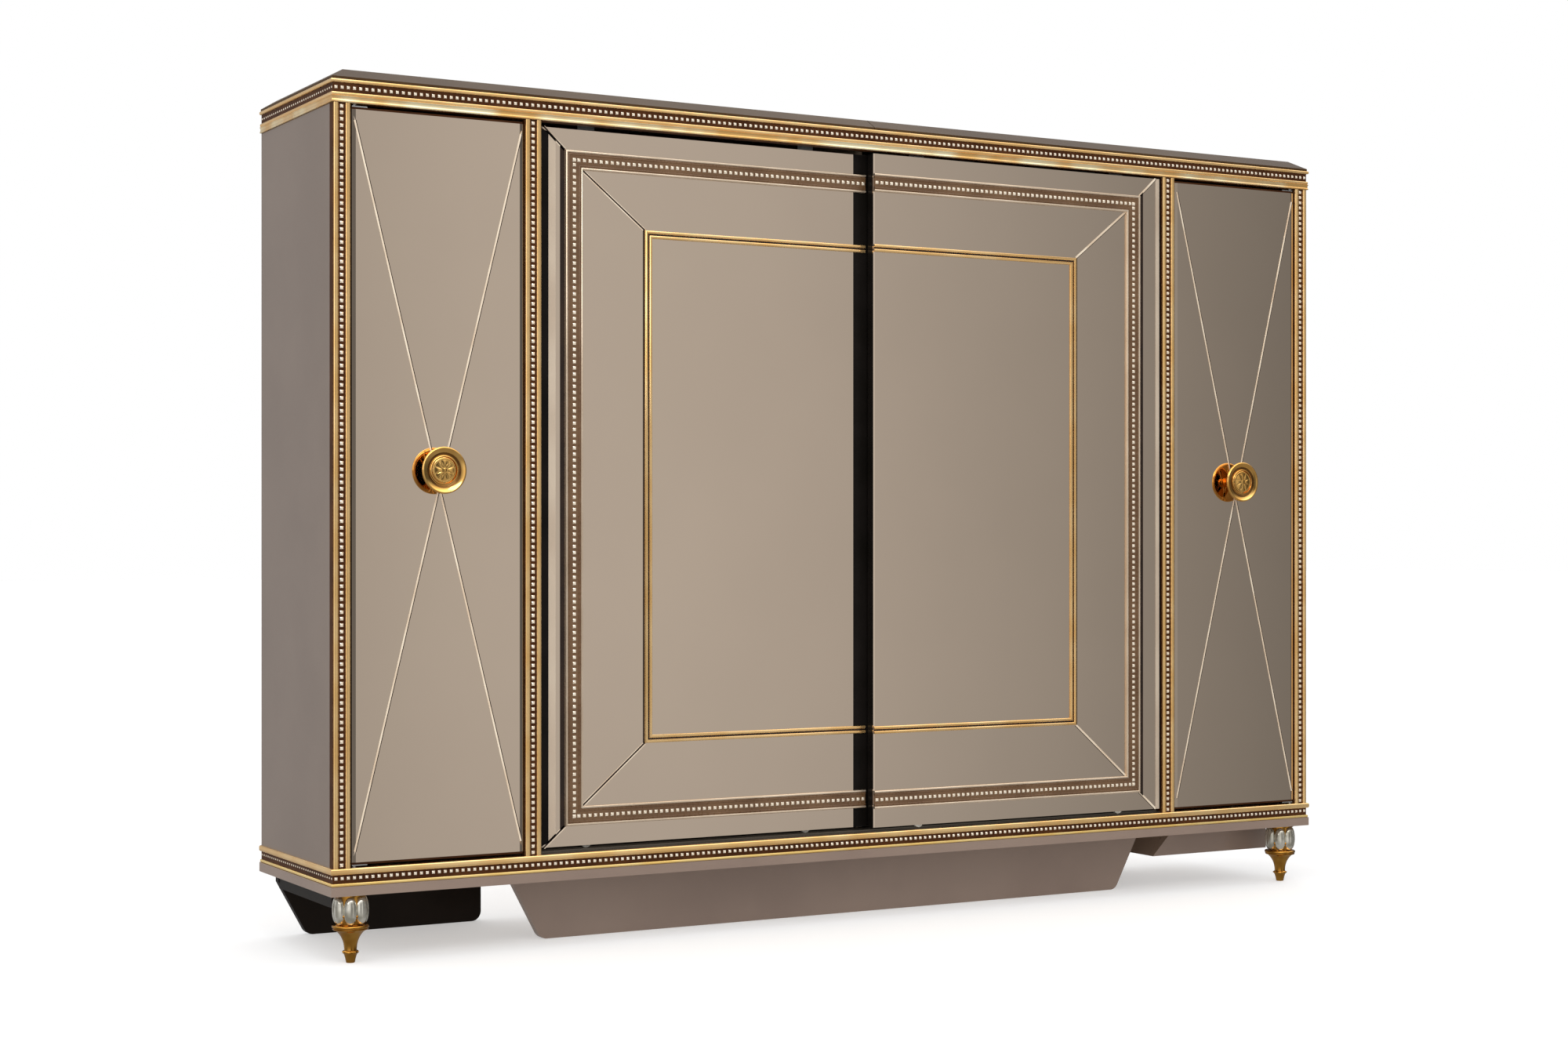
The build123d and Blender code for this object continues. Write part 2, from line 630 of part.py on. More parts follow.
# ---------------------------------------------------------------- sliding doors
STILE_WIDTH = {"left": 62, "right": 12}
EDGE_BEVEL = 18
MEETING_BEVEL = 4  # on the right door, whose glass runs to the meeting edge
POCKET = (60, 18, 38)  # a roller's pocket in the board: length, width and height
BRACKET_WALL = 3
for hand, side in SIDES:
    face_y = REAR_TRACK if side == "left" else FRONT_TRACK
    meeting = LEFT_DOOR_EDGE if side == "left" else RIGHT_DOOR_EDGE
    outer = hand * SLIDING_OUTER
    stile_edge = meeting + hand * STILE_WIDTH[side]
    glass_edge = stile_edge if side == "left" else meeting
    board_y = (face_y + GLASS, face_y + GLASS + SLIDING_BOARD)
    axle_y = sum(board_y) / 2
    door_z = (SLIDING_BOTTOM, DOOR_TOP)
    wheel_xs = (stile_edge + hand * WHEEL_FROM_EDGE, outer - hand * WHEEL_FROM_EDGE)
    guide_y = FRONT_GUIDE if side == "right" else REAR_GUIDE
    bevels = (EDGE_BEVEL, 0) if side == "left" else (MEETING_BEVEL, EDGE_BEVEL)
    trim_end = meeting - 24 if side == "left" else meeting

    with BuildPart() as slide_board:
        board((stile_edge, outer), board_y, door_z)
        for x in wheel_xs:
            cut(
                (x - POCKET[0] / 2, x + POCKET[0] / 2),
                (axle_y - POCKET[1] / 2, axle_y + POCKET[1] / 2),
                (SLIDING_BOTTOM, SLIDING_BOTTOM + POCKET[2]),
            )
    finish(slide_board, f"sliding_{side}_board")

    # The glass is grooved at the outer corners and from the moulding's corners to the frame's
    with BuildPart() as slide_mirror:
        glass_sheet(sorted((glass_edge, outer)), face_y, door_z, *bevels)
        moulding_inner = MOULDING_OUTER - MOULDING_WIDTH
        border_x = SLIDING_OUTER - EDGE_BEVEL
        for door_end, outer_end, inner_end, frame_end in (
            (SLIDING_BOTTOM, MOULDING_LOW, MOULDING_LOW + MOULDING_WIDTH, FRAME_LOW),
            (DOOR_TOP, MOULDING_HIGH, MOULDING_HIGH - MOULDING_WIDTH, FRAME_HIGH),
        ):
            groove((hand * border_x, door_end), (hand * MOULDING_OUTER, outer_end), face_y)
            groove((hand * moulding_inner, inner_end), (hand * FRAME_OUTER, frame_end), face_y)
    finish(slide_mirror, f"sliding_{side}_mirror")

    with BuildPart() as moulding:
        frame_z = (MOULDING_LOW, MOULDING_HIGH)
        u_frame(hand, trim_end, MOULDING_OUTER, frame_z, MOULDING_WIDTH, face_y, MOULDING_PROUD)
        rim = (MOULDING_WIDTH - CHANNEL) / 2
        channel_z = (MOULDING_LOW + rim, MOULDING_HIGH - rim)
        channel_y = face_y - MOULDING_PROUD + CHANNEL_DEPTH
        u_frame(
            hand, trim_end, MOULDING_OUTER - rim, channel_z, CHANNEL, channel_y, CHANNEL_DEPTH, Mode.SUBTRACT
        )
    finish(moulding, f"sliding_{side}_moulding")

    with BuildPart() as crystals:
        margin = (MOULDING_WIDTH - CRYSTAL) / 2
        row_z = (MOULDING_LOW + margin, MOULDING_HIGH - margin)
        u_frame(hand, trim_end, MOULDING_OUTER - margin, row_z, CRYSTAL, channel_y, CHANNEL_DEPTH)
    finish(crystals, f"sliding_{side}_crystals")

    with BuildPart() as inner_frame:
        u_frame(hand, trim_end, FRAME_OUTER, (FRAME_LOW, FRAME_HIGH), FRAME_WIDTH, face_y, FRAME_PROUD)
    finish(inner_frame, f"sliding_{side}_inner_frame")

    with BuildPart() as stile:
        stile_front = face_y if side == "left" else face_y + GLASS
        board((meeting, stile_edge), (stile_front, board_y[1]), door_z)
    finish(stile, f"sliding_{side}_stile")

    # Two roller brackets in the board's foot and two guide fins on its head
    with BuildPart() as fittings:
        for x in wheel_xs:
            board(
                (x - POCKET[0] / 2, x + POCKET[0] / 2),
                (axle_y - POCKET[1] / 2, axle_y + POCKET[1] / 2),
                (SLIDING_BOTTOM, SLIDING_BOTTOM + POCKET[2]),
            )
            cut(
                (x - POCKET[0] / 2, x + POCKET[0] / 2),
                (axle_y - POCKET[1] / 2 + BRACKET_WALL, axle_y + POCKET[1] / 2 - BRACKET_WALL),
                (SLIDING_BOTTOM, SLIDING_BOTTOM + POCKET[2] - BRACKET_WALL),
            )
            with BuildSketch(Plane.XZ.offset(-(axle_y + POCKET[1] / 2))):
                with Locations((x, WHEEL_Z)):
                    Circle(AXLE_RADIUS)
            extrude(amount=POCKET[1])
            board((x - 25, x + 25), (guide_y - GUIDE_FIN / 2, guide_y + GUIDE_FIN / 2), (DOOR_TOP, GUIDE_TOP))
    finish(fittings, f"sliding_{side}_fittings")

    for x, place in zip(wheel_xs, ("a", "b")):
        wheel_plane = Plane(origin=(x, axle_y, WHEEL_Z), x_dir=(1, 0, 0), z_dir=(0, 0, 1))
        bore = AXLE_RADIUS + RUNNING_CLEARANCE
        groove_half = RIB_WIDTH / 2 + 0.6
        edge = WHEEL_WIDTH / 2
        with BuildPart() as wheel:
            with BuildSketch(wheel_plane):
                with BuildLine():
                    Polyline(
                        (bore, -edge),
                        (WHEEL_FLANGE, -edge),
                        (WHEEL_FLANGE, -groove_half - 0.8),
                        (WHEEL_TREAD, -groove_half),
                        (WHEEL_TREAD, groove_half),
                        (WHEEL_FLANGE, groove_half + 0.8),
                        (WHEEL_FLANGE, edge),
                        (bore, edge),
                        close=True,
                    )
                make_face()
            revolve(axis=Axis(wheel_plane.origin, (0, 1, 0)))
        finish(wheel, f"sliding_{side}_wheel_{place}")
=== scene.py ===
"""Looks of the armoire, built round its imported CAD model.

Lengths are in metres in the CAD model's frame: X along the width, Y from front to back, Z up.
"""

import math

import bmesh
import bpy
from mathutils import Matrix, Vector


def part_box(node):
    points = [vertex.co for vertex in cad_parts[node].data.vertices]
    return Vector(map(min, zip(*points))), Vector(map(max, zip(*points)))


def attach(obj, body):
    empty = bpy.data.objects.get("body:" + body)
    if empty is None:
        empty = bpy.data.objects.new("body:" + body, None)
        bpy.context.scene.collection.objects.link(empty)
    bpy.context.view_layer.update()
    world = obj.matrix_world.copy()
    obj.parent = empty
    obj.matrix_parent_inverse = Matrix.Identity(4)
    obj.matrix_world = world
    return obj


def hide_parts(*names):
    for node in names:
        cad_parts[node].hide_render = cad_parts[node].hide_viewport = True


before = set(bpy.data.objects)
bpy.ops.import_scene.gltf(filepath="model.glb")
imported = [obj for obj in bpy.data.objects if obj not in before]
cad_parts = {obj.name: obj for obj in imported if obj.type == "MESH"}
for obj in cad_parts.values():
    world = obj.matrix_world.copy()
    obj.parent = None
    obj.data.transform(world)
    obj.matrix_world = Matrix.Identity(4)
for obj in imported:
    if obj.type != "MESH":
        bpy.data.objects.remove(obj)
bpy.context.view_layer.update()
scene = bpy.context.scene
scene.view_settings.view_transform = "Standard"

MM = 0.001
SIDES = ((-1, "left"), (1, "right"))


# ---------------------------------------------------------------- colours
def linear(red, green, blue):
    """A screen colour from 0 to 255 as scene-linear RGBA."""
    channels = []
    for value in (red, green, blue):
        share = value / 255
        channels.append(share / 12.92 if share <= 0.04045 else ((share + 0.055) / 1.055) ** 2.4)
    return (*channels, 1.0)


BRONZE = (0.74, 0.60, 0.47, 1.0)  # how a bronze mirror tints what it reflects


# ---------------------------------------------------------------- node helpers
class Graph:
    """A node tree that is built by naming node types and what feeds them."""

    def __init__(self, tree):
        self.tree = tree
        tree.nodes.clear()

    def add(self, kind, inputs=None, **settings):
        node = self.tree.nodes.new(kind)
        for name, value in settings.items():
            setattr(node, name, value)
        for name, value in (inputs or {}).items():
            self.feed(node, name, value)
        return node

    def feed(self, node, name, value):
        if isinstance(value, bpy.types.NodeSocket):
            self.tree.links.new(value, node.inputs[name])
        else:
            node.inputs[name].default_value = value

    def math(self, operation, first, second=0.0):
        return self.add("ShaderNodeMath", {0: first, 1: second}, operation=operation).outputs[0]

    def span(self, value, low, high, to_low=0.0, to_high=1.0):
        """The value moved from one range to another, clamped and eased at both ends."""
        ranges = {"From Min": low, "From Max": high, "To Min": to_low, "To Max": to_high}
        node = self.add("ShaderNodeMapRange", {"Value": value, **ranges}, interpolation_type="SMOOTHSTEP")
        return node.outputs["Result"]

    def ramp(self, value, stops):
        """A colour ramp from (position, colour) stops."""
        node = self.add("ShaderNodeValToRGB", {"Fac": value})
        elements = node.color_ramp.elements
        elements[0].position, elements[0].color = stops[0]
        elements[1].position, elements[1].color = stops[-1]
        for position, colour in stops[1:-1]:
            elements.new(position).color = colour
        return node.outputs["Color"]

    def mix(self, share, first, second):
        return self.add("ShaderNodeMix", {0: share, 6: first, 7: second}, data_type="RGBA").outputs[2]


# ---------------------------------------------------------------- studio
def make_camera():
    """The camera stands left of the armoire, level, at about chest height."""
    data = bpy.data.cameras.new("camera")
    data.sensor_width = 36
    data.lens = 57.08
    data.shift_y = 0.0111
    camera = bpy.data.objects.new("camera", data)
    camera.location = (-3.746, -6.317, 1.085)
    camera.rotation_euler = (math.radians(90), 0, math.radians(-29.7))
    scene.collection.objects.link(camera)
    scene.camera = camera


# How bright the plain studio is to shiny surfaces: two broad soft panels and a faint one behind, with
# dimmer gaps between them. Bearings are in degrees from straight in front of the armoire, and count towards
# its right-hand end.
STUDIO_PANELS = (
    (-180, 0.25),
    (-150, 0.6),
    (-110, 0.2),
    (-35, 0.9),
    (5, 0.1),
    (25, 0.6),
    (50, 0.1),
    (120, 0.15),
    (180, 0.25),
)
CEILING_LEVEL = 2.2
GROUND_LEVEL = 0.3


def make_world():
    """White to the camera, a soft dome for matt surfaces, and soft studio panels for what shines."""
    world = bpy.data.worlds.new("studio")
    scene.world = world
    world.use_nodes = True
    world.cycles.sampling_method = "NONE"
    graph = Graph(world.node_tree)
    direction = graph.add("ShaderNodeTexCoord").outputs["Generated"]
    axes = graph.add("ShaderNodeSeparateXYZ", {0: direction}).outputs
    towards_front = graph.math("MULTIPLY", axes[1], -1.0)
    bearing = graph.math("DEGREES", graph.math("ARCTAN2", axes[0], towards_front))
    rise = graph.math("DEGREES", graph.math("ARCSINE", axes[2]))

    share = graph.math("DIVIDE", graph.math("ADD", bearing, 180.0), 360.0)
    stops = [((place + 180) / 360, (level, level, level, 1)) for place, level in STUDIO_PANELS]
    panels = graph.ramp(share, stops)
    panels.node.color_ramp.interpolation = "EASE"
    studio = graph.mix(graph.span(rise, 14, 50), panels, (CEILING_LEVEL,) * 3 + (1,))
    studio = graph.mix(graph.span(rise, -30, 0, 1.0, 0.0), studio, (GROUND_LEVEL,) * 3 + (1,))
    dome = graph.mix(graph.span(rise, -10, 60), (0.86, 0.86, 0.87, 1), (1.12, 1.12, 1.12, 1))

    light = graph.add("ShaderNodeLightPath").outputs
    shown = graph.mix(light["Is Glossy Ray"], dome, studio)
    shown = graph.mix(light["Is Camera Ray"], shown, (1, 1, 1, 1))
    background = graph.add("ShaderNodeBackground", {"Color": shown}).outputs[0]
    graph.add("ShaderNodeOutputWorld", {"Surface": background})


def make_light(name, place, aim, size, power):
    data = bpy.data.lights.new(name, "AREA")
    data.shape = "RECTANGLE"
    data.size, data.size_y = size
    data.energy = power
    lamp = bpy.data.objects.new(name, data)
    lamp.location = place
    lamp.rotation_euler = (Vector(aim) - Vector(place)).to_track_quat("-Z", "Y").to_euler()
    scene.collection.objects.link(lamp)


def make_floor():
    """A plain pale floor, which shiny surfaces don't see."""
    reach = 60
    mesh = bpy.data.meshes.new("floor")
    corners = [(-reach, -reach, 0), (reach, -reach, 0), (reach, reach, 0), (-reach, reach, 0)]
    mesh.from_pydata(corners, [], [(0, 1, 2, 3)])
    floor = bpy.data.objects.new("floor", mesh)
    scene.collection.objects.link(floor)
    material = bpy.data.materials.new("pale_floor")
    material.use_nodes = True
    graph = Graph(material.node_tree)
    grain = graph.add("ShaderNodeTexNoise", {"Scale": 30.0})
    tone = graph.mix(grain.outputs["Fac"], (0.61, 0.61, 0.61, 1), (0.63, 0.63, 0.63, 1))
    shader = graph.add(
        "ShaderNodeBsdfPrincipled",
        {"Base Color": tone, "Roughness": 0.9, "Emission Color": (1, 1, 1, 1), "Emission Strength": 0.42},
    )
    graph.add("ShaderNodeOutputMaterial", {"Surface": shader.outputs[0]})
    mesh.materials.append(material)
    floor.visible_glossy = False


make_camera()
make_world()
make_light("overhead", (-1.5, -4.5, 4.6), (0, 0, 1.2), (3.5, 2.0), 60)
make_light("side_fill", (-5.0, -2.2, 2.4), (-1.6, -0.2, 1.2), (2.0, 2.0), 16)
make_floor()


# ---------------------------------------------------------------- materials
def surface(
    name, low, high, scale, stretch=(1, 1, 1), roughness=(0.3, 0.45), bump=0.1, fine=900, detail=4.0,
    metallic=0.0, **fixed
):
    """A material whose colour drifts between two tones, with fine unevenness in gloss and height."""
    material = bpy.data.materials.new(name)
    material.use_nodes = True
    graph = Graph(material.node_tree)
    place = graph.add("ShaderNodeTexCoord").outputs["Object"]
    stretched = graph.add("ShaderNodeMapping", {"Vector": place, "Scale": stretch}).outputs[0]
    broad_noise = {"Vector": stretched, "Scale": scale, "Detail": detail}
    fine_noise = {"Vector": stretched, "Scale": fine, "Detail": 2.0}
    drift = graph.add("ShaderNodeTexNoise", broad_noise).outputs["Fac"]
    grain = graph.add("ShaderNodeTexNoise", fine_noise).outputs["Fac"]
    shader = graph.add(
        "ShaderNodeBsdfPrincipled",
        {
            "Base Color": graph.mix(graph.span(drift, 0.3, 0.7), low, high),
            "Roughness": graph.span(grain, 0.25, 0.75, *roughness),
            "Metallic": metallic,
            "Normal": graph.add(
                "ShaderNodeBump", {"Height": grain, "Strength": bump, "Distance": 0.1 * MM}
            ).outputs[0],
            **fixed,
        },
    )
    graph.add("ShaderNodeOutputMaterial", {"Surface": shader.outputs[0]})
    return material


POLISHED = {"fine": 90, "detail": 1.0, "bump": 0.02}  # even enough for clean reflections

taupe = surface(
    "taupe_lacquer", linear(106, 89, 76), linear(112, 95, 82), 3, bump=0.05, roughness=(0.36, 0.44),
    **{"Specular IOR Level": 0.15, "Coat Weight": 0.8, "Coat Roughness": 0.06},
)
# The plinth and front skirt share the side panels' taupe lacquer; this copy is painted lighter, standing for
# the light that falls on the front boards.
taupe_painted_lighter = surface(
    "taupe_lacquer_painted_lighter", linear(128, 109, 97), linear(136, 117, 104), 3, bump=0.05, roughness=(0.36, 0.44),
    **{"Specular IOR Level": 0.3, "Coat Weight": 0.4, "Coat Roughness": 0.1},
)
cap_brown = surface(
    "cap_lacquer", linear(64, 46, 27), linear(78, 59, 37), 2, bump=0.05, roughness=(0.3, 0.38),
    **{"Specular IOR Level": 0.05},
)
channel_brown = surface(
    "dark_lacquer", linear(60, 33, 15), linear(74, 43, 21), 12, bump=0.05, roughness=(0.35, 0.45),
    **{"Specular IOR Level": 0.05},
)
# Painted shade: the rear boards and the rails under the carcass are coloured this dark because they stand in
# the shadow under it.
rear_painted_shade = surface(
    "rear_board_painted_shade", linear(26, 19, 13), linear(33, 25, 18), 6, bump=0.1, **{"Specular IOR Level": 0.1}
)
moulding_taupe = surface(
    "moulding_lacquer", linear(216, 194, 168), linear(228, 208, 184), 9, roughness=(0.16, 0.2), metallic=0.7,
    **POLISHED,
)
moulding_field = surface(
    "moulding_field_lacquer", linear(100, 72, 47), linear(114, 85, 58), 9, roughness=(0.25, 0.32),
    metallic=0.2, **POLISHED,
)
melamine = surface(
    "carcass_board", linear(154, 132, 108), linear(170, 148, 122), 9, stretch=(12, 12, 0.5), bump=0.2,
    fine=300, roughness=(0.45, 0.6),
)
gold = surface(
    "gold_leaf", linear(242, 194, 124), linear(252, 212, 150), 10, roughness=(0.13, 0.17), metallic=0.8,
    **POLISHED,
)
# A lighter copy of the gold for the base's lower bead: painted light standing for the pale floor it would
# reflect, as shiny surfaces don't see the floor.
gold_painted_lighter = surface(
    "gold_painted_lighter", linear(252, 210, 122), linear(255, 224, 150), 10, roughness=(0.13, 0.17), metallic=0.7,
    **POLISHED,
)
knob_gold = surface(
    "polished_gold", linear(238, 178, 92), linear(250, 200, 118), 24, roughness=(0.04, 0.08), metallic=1.0,
    **POLISHED,
)
foot_gold = surface(
    "burnished_gold", linear(178, 124, 48), linear(204, 150, 68), 30, roughness=(0.12, 0.22), metallic=1.0,
    **POLISHED,
)
# The cornice band's gold drifts to near-white cream in long patches along it: painted reflection over the
# gold leaf's own tone.
band_gold = surface(
    "band_gold", linear(230, 180, 108), linear(255, 240, 198), 9, stretch=(1, 1, 0.2),
    roughness=(0.13, 0.17), metallic=0.8, **POLISHED,
)
crystal = surface(
    "foiled_crystal", linear(222, 204, 178), linear(250, 240, 222), 300, bump=0.02, roughness=(0.08, 0.14),
    metallic=0.35, **{"Coat Weight": 0.3, "Coat Roughness": 0.05},
)
bulb_crystal = surface(
    "bulb_crystal", linear(172, 166, 148), linear(224, 220, 206), 40, roughness=(0.03, 0.06), metallic=0.8,
    **POLISHED, **{"Coat Weight": 1.0, "Coat Roughness": 0.02},
)
mirror = surface(
    "bronze_mirror", BRONZE, tuple(0.97 * part for part in BRONZE[:3]) + (1.0,), 2, fine=60, bump=0.0,
    roughness=(0.004, 0.008), metallic=1.0,
)
# The bright side of each mirror cut: painted highlight, a flat strip standing for a cut facet that catches
# the light.
cut_highlight = surface(
    "painted_cut_highlight", linear(226, 202, 174), linear(248, 232, 208), 14, roughness=(0.1, 0.2), metallic=0.35,
    **POLISHED,
)
# A painted glint: a flat strip lighter than the glass, standing for the bright reflection on a sliding door's
# bevel.
painted_bevel_glint = surface(
    "painted_bevel_glint", linear(206, 186, 164), linear(220, 202, 180), 5, roughness=(0.1, 0.2), metallic=0.5,
    **POLISHED,
)
# The dark side of each cut, and other dark strips on the glass: painted shade.
cut_shade = surface(
    "shaded_cut", linear(36, 22, 13), linear(48, 31, 19), 14, roughness=(0.2, 0.3), metallic=0.3, **POLISHED
)
black = surface(
    "black_profile", (0.006, 0.005, 0.004, 1), (0.010, 0.008, 0.007, 1), 8, bump=0.05, roughness=(0.2, 0.3),
    **{"Specular IOR Level": 0.06},
)
# A darker copy of the knob's gold for the ring round the medallion: painted shade in the recess.
knob_recess_shade = surface(
    "knob_recess_shade", linear(96, 62, 24), linear(120, 80, 34), 60, roughness=(0.2, 0.3), metallic=0.8,
    **POLISHED,
)
track = surface(
    "track_metal", linear(96, 88, 78), linear(118, 110, 99), 20, stretch=(0.4, 30, 30), bump=0.15,
    roughness=(0.22, 0.34), metallic=0.9,
)
steel = surface(
    "plated_steel", linear(170, 170, 168), linear(190, 190, 188), 30, bump=0.15, roughness=(0.25, 0.4),
    metallic=0.95,
)
nylon = surface("nylon", linear(216, 212, 200), linear(226, 223, 213), 30, bump=0.15, roughness=(0.45, 0.6))

NODE_MATERIALS = (
    (taupe, ("side_panel_left", "side_panel_right")),
    (taupe_painted_lighter, ("plinth", "front_skirt")),
    (cap_brown, ("cap_left", "cap_right")),
    (
        channel_brown,
        (
            "cornice_frame", "base_frame",
            "post_outer_left", "post_inner_left", "post_inner_right", "post_outer_right",
            "door_left_board", "door_right_board", "sliding_left_board", "sliding_right_board",
        ),
    ),
    (rear_painted_shade, ("rear_skirts", "under_rails")),
    (
        melamine,
        (
            "divider_left", "divider_right", "center_partition", "bottom_panel", "top_panel", "back_panels",
            "shelves",
        ),
    ),
    (mirror, ("door_left_mirror", "door_right_mirror", "sliding_left_mirror", "sliding_right_mirror")),
    (black, ("sliding_left_stile", "sliding_right_stile")),
    (track, ("bottom_track", "top_track")),
    (
        steel,
        (
            "door_left_pivots", "door_right_pivots", "sliding_left_fittings", "sliding_right_fittings",
            "hanging_rails", "rail_sockets",
        ),
    ),
    (
        nylon,
        (
            "pivot_bushes", "sliding_left_wheel_a", "sliding_left_wheel_b", "sliding_right_wheel_a",
            "sliding_right_wheel_b",
        ),
    ),
)
for finish_material, names in NODE_MATERIALS:
    for name in names:
        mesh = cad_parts[name].data
        mesh.materials.clear()
        mesh.materials.append(finish_material)


# ---------------------------------------------------------------- mesh helpers
def make_piece(name, parts, material, body, replaced=(), sharp=30):
    """One piece from (vertices, faces) parts; edges that turn by more than `sharp` degrees stay crisp."""
    vertices = []
    faces = []
    for part_vertices, part_faces in parts:
        start = len(vertices)
        vertices += part_vertices
        faces += [[start + corner for corner in face] for face in part_faces]
    mesh = bpy.data.meshes.new(name)
    mesh.from_pydata(vertices, [], faces)
    edit = bmesh.new()
    edit.from_mesh(mesh)
    bmesh.ops.recalc_face_normals(edit, faces=edit.faces)
    edit.to_mesh(mesh)
    edit.free()
    mesh.shade_smooth()
    mesh.set_sharp_from_angle(angle=math.radians(sharp))
    mesh.materials.append(material)
    piece = bpy.data.objects.new(name, mesh)
    scene.collection.objects.link(piece)
    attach(piece, body)
    if replaced:
        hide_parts(*replaced)
    return piece


def skin(outlines):
    """A closed solid skinned over outlines that each have the same number of points."""
    count = len(outlines[0])
    vertices = [point for outline in outlines for point in outline]
    faces = []
    for level in range(len(outlines) - 1):
        for corner in range(count):
            after = (corner + 1) % count
            low = level * count
            faces.append((low + corner, low + after, low + count + after, low + count + corner))
    faces.append(tuple(range(count)))
    faces.append(tuple(range(len(vertices) - count, len(vertices))))
    return vertices, faces


def turned(profile, place, segments=64):
    """A solid turned from (radius, height) points; the first and last lie on the axis."""
    vertices = [place(0, 0, profile[0][1])]
    for radius, height in profile[1:-1]:
        for step in range(segments):
            angle = math.tau * step / segments
            vertices.append(place(radius * math.cos(angle), radius * math.sin(angle), height))
    vertices.append(place(0, 0, profile[-1][1]))
    last = len(vertices) - 1
    faces = []
    for step in range(segments):
        after = (step + 1) % segments
        faces.append((0, 1 + step, 1 + after))
        faces.append((last, last - segments + after, last - segments + step))
        for ring in range(len(profile) - 3):
            low = 1 + ring * segments
            faces.append((low + step, low + segments + step, low + segments + after, low + after))
    return vertices, faces


def bend(start, pull, end, steps=8):
    """Points from start to end on a curve drawn towards the pull point."""
    points = []
    for step in range(steps + 1):
        share = step / steps
        weighted = zip(((1 - share) ** 2, 2 * share * (1 - share), share**2), (start, pull, end))
        across, along = zip(*((weight * point[0], weight * point[1]) for weight, point in weighted))
        points.append((sum(across), sum(along)))
    return points


def half_round(low, high, height, steps=10, fullness=0.62):
    """A bead's section from (low, 0) to (high, 0), as (across, out) points."""
    points = []
    for step in range(steps + 1):
        angle = math.pi * step / steps
        across = -math.cos(angle)
        out = math.sin(angle)
        across = math.copysign(abs(across) ** fullness, across)
        points.append(((low + high) / 2 + across * (high - low) / 2, out**fullness * height))
    return points


def stone(middle, along, across, out, size=10 * MM, height=3 * MM):
    """A square stone: a low girdle, a table turned by 45 degrees and eight facets between them."""
    vertices = []
    half = size / 2
    for reach, level, turn in ((half, 0, 0), (half, 0.25 * height, 0), (0.58 * half, height, 45)):
        for quarter in range(4):
            angle = math.radians(45 + turn + 90 * quarter)
            corner = math.sqrt(2) * reach
            step = along * corner * math.cos(angle) + across * corner * math.sin(angle)
            vertices.append(middle + step + out * level)
    faces = [(0, 1, 2, 3), (8, 9, 10, 11)]
    for quarter in range(4):
        after = (quarter + 1) % 4
        faces.append((quarter, after, 4 + after, 4 + quarter))
        faces.append((4 + quarter, 4 + after, 8 + quarter))
        faces.append((4 + after, 8 + after, 8 + quarter))
    return vertices, faces


def stone_row(start, end, out, pitch=16.5 * MM, size=9 * MM, height=2.6 * MM):
    """Stones set evenly from start to end, facing out."""
    run = end - start
    count = max(1, round(run.length / pitch))
    along = run.normalized()
    across = out.cross(along)
    middles = [start + run * ((step + 0.5) / count) for step in range(count)]
    return [stone(middle, along, across, out, size, height) for middle in middles]


# ---------------------------------------------------------------- measures from the CAD model
half_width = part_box("side_panel_right")[1].x
face_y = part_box("sliding_right_mirror")[0].y
back_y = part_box("side_panel_right")[1].y
post_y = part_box("post_outer_left")[0].y
base_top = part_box("post_outer_left")[0].z
cornice_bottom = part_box("post_outer_left")[1].z
plinth_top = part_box("plinth")[1].z

POSTS = ("outer_left", "inner_left", "inner_right", "outer_right")
post_middles = [sum(corner.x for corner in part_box(f"post_{place}")) / 2 for place in POSTS]


# ---------------------------------------------------------------- beads and bands round the carcass
def wrap(section):
    """A section of (reach, height) points taken round the left, front and right sides."""
    outlines = []
    for hand, end_y in ((-1, 1), (-1, 0), (1, 0), (1, 1)):
        outlines.append(
            [
                Vector((hand * (half_width + reach), back_y if end_y else face_y - reach, height))
                for reach, height in section
            ]
        )
    return skin(outlines)


def round_bead(low, high, reach):
    return [(out, across) for across, out in half_round(low, high, reach)]


def cornice_band(low, high, reach):
    """A broad band with a lip at its foot and a shallow cove above it."""
    rise = high - low
    hollow = (0.62 * reach, (low + high) / 2)
    return [
        (0, low),
        *bend((0.7 * reach, low), (reach, low), (reach, low + 0.1 * rise), 4),
        *bend((reach, low + 0.2 * rise), (0.66 * reach, low + 0.25 * rise), hollow, 5),
        *bend(hollow, (0.66 * reach, high - 0.2 * rise), (reach, high - 0.12 * rise), 5),
        (reach, high - 0.04 * rise),
        (0.8 * reach, high),
        (0, high),
    ]


band_low = cornice_bottom + 1 * MM
band_high = cornice_bottom + 18 * MM
make_piece(
    "cornice_gold_beads",
    [
        wrap(round_bead(band_high + 0.2 * MM, band_high + 9 * MM, 4 * MM)),
        wrap(round_bead(cornice_bottom + 51 * MM, cornice_bottom + 60.5 * MM, 6 * MM)),
    ],
    gold, "root",
)
make_piece(
    "cornice_gold_band", [wrap(cornice_band(band_low, band_high, 5 * MM))], band_gold, "root",
    ("cornice_beads",),
)
make_piece(
    "base_lower_bead", [wrap(round_bead(plinth_top, plinth_top + 8 * MM, 4 * MM))],
    gold_painted_lighter, "root", ("base_beads",),
)
make_piece(
    "base_upper_bead", [wrap(round_bead(base_top - 16 * MM, base_top, 7 * MM))],
    gold, "root", ("base_beads",),
)


def upright_bead(middle, width=13 * MM, proud=7 * MM):
    section = half_round(middle - width / 2, middle + width / 2, proud)
    return skin([[Vector((x, post_y - out, z)) for x, out in section] for z in (base_top, cornice_bottom)])


bead_offset = 16 * MM
make_piece(
    "post_gold_beads",
    [upright_bead(middle + side * bead_offset) for middle in post_middles for side in (-1, 1)],
    gold, "root", ("post_beads",),
)

